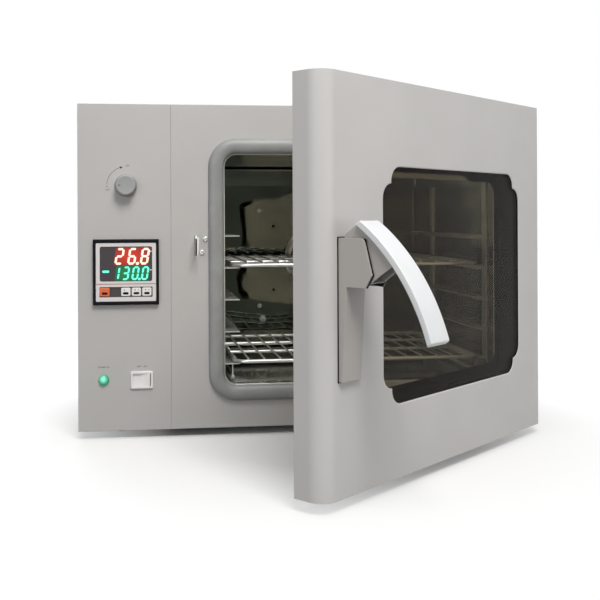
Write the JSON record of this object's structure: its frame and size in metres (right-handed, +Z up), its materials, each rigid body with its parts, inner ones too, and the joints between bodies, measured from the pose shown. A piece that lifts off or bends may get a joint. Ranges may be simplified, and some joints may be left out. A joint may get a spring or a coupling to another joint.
{
  "type": "drying oven",
  "caption": "Bench drying oven: sheet-steel cabinet with a heated, fan-stirred chamber, glazed side-hinged door with pull-lever latch, wire shelves and a control panel.",
  "frame": {"origin": "on the bench plane, under the middle of the box round the oven with its door open by 40 degrees", "axes": "+Z up, the front panel faces -Y, +X to the right as seen from the front"},
  "size_m": [0.6856, 0.9622, 0.492],
  "materials": {
    "panel_paint": "warm light grey powder coat, smooth and satin",
    "door_paint": "pale warm grey powder coat, satin",
    "handle_paint": "grey moulded handle with a satin coat",
    "lever_white": "off-white satin lever",
    "galvanised": "galvanised sheet",
    "stainless": "polished stainless sheet",
    "mirror_plate": "dark mirror-bright stainless plate",
    "bright_metal": "bright nickel-plated steel",
    "silicone_seal": "light grey silicone rubber",
    "foot_rubber": "black rubber",
    "mineral_wool": "mineral wool",
    "knob_grey": "mid grey moulded plastic",
    "white_plastic": "white moulded plastic",
    "dark_plastic": "black moulded plastic",
    "orange_plastic": "orange moulded plastic",
    "display_pane": "dark grey display pane",
    "lamp_green": "green translucent lamp cap",
    "window_glass": "dark coated glass",
    "heater_steel": "oxidised heater sheath",
    "motor_grey": "dark grey motor casting"
  },
  "bodies": {
    "cabinet": {"outer_casing": "panel_paint", "base_pan": "galvanised", "rear_cover": "panel_paint", "control_panel": "panel_paint", "front_frame": "panel_paint", "partition": "galvanised", "rear_bulkhead": "galvanised", "insulation_jacket": "mineral_wool", "chamber_liner": "stainless", "air_baffle": "mirror_plate", "chamber_gasket": "silicone_seal", "shelf_rail_left": "stainless", "shelf_rail_right": "stainless", "heater_element": "heater_steel", "fan_motor": "motor_grey", "temperature_probe": "bright_metal", "vent_duct": "galvanised", "controller_case": "dark_plastic", "controller_face": "white_plastic", "display_window": "display_pane", "switch_frame": "white_plastic", "lamp_socket": "dark_plastic", "lamp_lens": "lamp_green", "striker_plate": "bright_metal", "striker_screw_upper": "bright_metal", "striker_screw_lower": "bright_metal", "foot_front_left": "foot_rubber", "foot_front_right": "foot_rubber", "foot_rear_left": "foot_rubber", "foot_rear_right": "foot_rubber", "power_gland": "dark_plastic", "hinge_bracket_top": "galvanised", "hinge_bracket_bottom": "galvanised"},
    "door": {"door_skin": "door_paint", "door_inner_panel": "stainless", "door_insulation": "mineral_wool", "window_frame": "dark_plastic", "outer_glass": "window_glass", "inner_glass": "window_glass", "hinge_bush_top": "white_plastic", "hinge_bush_bottom": "white_plastic", "handle_base": "handle_paint", "handle_pin": "bright_metal"},
    "lever": {"lever_arm": "handle_paint", "lever_bar": "lever_white", "latch_pin": "bright_metal"},
    "vent_valve": {"vent_knob": "knob_grey", "vent_shaft": "galvanised"},
    "rocker": {"switch_rocker": "white_plastic"},
    "mode_key": {"mode_button": "orange_plastic"},
    "shift_key": {"shift_button": "white_plastic"},
    "down_key": {"down_button": "white_plastic"},
    "up_key": {"up_button": "white_plastic"},
    "upper_shelf": {"shelf_upper": "bright_metal"},
    "lower_shelf": {"shelf_lower": "bright_metal"},
    "fan": {"fan_shaft": "bright_metal", "fan_impeller": "stainless"}
  },
  "joints": [
    {"name": "door_swing", "type": "hinge", "parent": "cabinet", "child": "door", "pos_m": [0.32321, -0.04174, 0.25], "axis": [0, 0, 1], "range_deg": [-40, 70]},
    {"name": "lever_pull", "type": "hinge", "parent": "door", "child": "lever", "pos_m": [-0.0203, -0.38611, 0.2715], "axis": [-0.766, -0.6428, 0], "range_deg": [-35.3, 0]},
    {"name": "vent_turn", "type": "hinge", "parent": "cabinet", "child": "vent_valve", "pos_m": [-0.27279, -0.02774, 0.372], "axis": [0, 1, 0], "range_deg": [0, 90]},
    {"name": "switch_tilt", "type": "hinge", "parent": "cabinet", "child": "rocker", "pos_m": [-0.25029, -0.02374, 0.086], "axis": [0, 0, 1], "range_deg": [0, 16]},
    {"name": "mode_press", "type": "slide", "parent": "cabinet", "child": "mode_key", "axis": [0, 1, 0], "range_m": [0, 0.0008], "stiffness_N_per_m": 500},
    {"name": "shift_press", "type": "slide", "parent": "cabinet", "child": "shift_key", "axis": [0, 1, 0], "range_m": [0, 0.0008], "stiffness_N_per_m": 500},
    {"name": "down_press", "type": "slide", "parent": "cabinet", "child": "down_key", "axis": [0, 1, 0], "range_m": [0, 0.0008], "stiffness_N_per_m": 500},
    {"name": "up_press", "type": "slide", "parent": "cabinet", "child": "up_key", "axis": [0, 1, 0], "range_m": [0, 0.0008], "stiffness_N_per_m": 500},
    {"name": "upper_shelf_slide", "type": "slide", "parent": "cabinet", "child": "upper_shelf", "axis": [0, -1, 0], "range_m": [0, 0.07]},
    {"name": "lower_shelf_slide", "type": "slide", "parent": "cabinet", "child": "lower_shelf", "axis": [0, -1, 0], "range_m": [0, 0.07]},
    {"name": "fan_spin", "type": "hinge", "parent": "cabinet", "child": "fan", "pos_m": [0.08071, 0.37226, 0.247], "axis": [0, 1, 0], "continuous": true}
  ]
}
